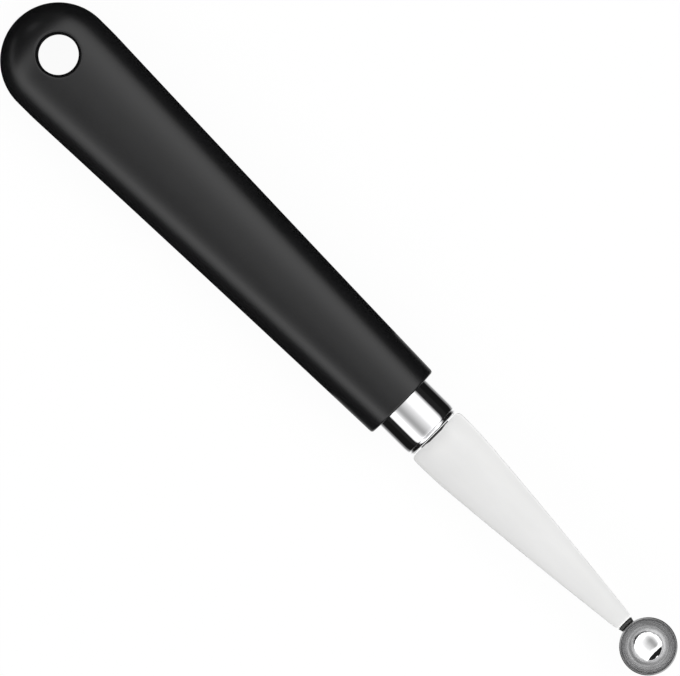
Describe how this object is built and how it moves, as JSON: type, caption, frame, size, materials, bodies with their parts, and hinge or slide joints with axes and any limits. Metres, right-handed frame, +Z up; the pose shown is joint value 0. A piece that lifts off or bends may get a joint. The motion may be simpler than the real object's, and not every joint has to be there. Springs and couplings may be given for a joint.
{
  "type": "melon baller",
  "caption": "Small melon baller: black moulded handle with a hanging hole, polished ferrule, tapered satin steel shank and a 10 mm polished bowl.",
  "frame": {"origin": "on the surface that the tool lies on, under the middle of its overall length and width", "axes": "+X along the tool from the butt of the handle to the bowl, +Z up with the bowl opening upwards, +Y to the left of someone who looks from the butt to the bowl"},
  "size_m": [0.1574, 0.02, 0.0126],
  "materials": {
    "black_plastic": "fine satin moulding",
    "polished_steel": "mirror polish",
    "satin_steel": "fine satin",
    "weld_steel": "dull, darkened by heat"
  },
  "bodies": {
    "root": {"handle": "black_plastic", "ferrule": "polished_steel", "shank": "satin_steel", "bowl": "polished_steel", "weld_seam": "weld_steel"}
  },
  "joints": []
}
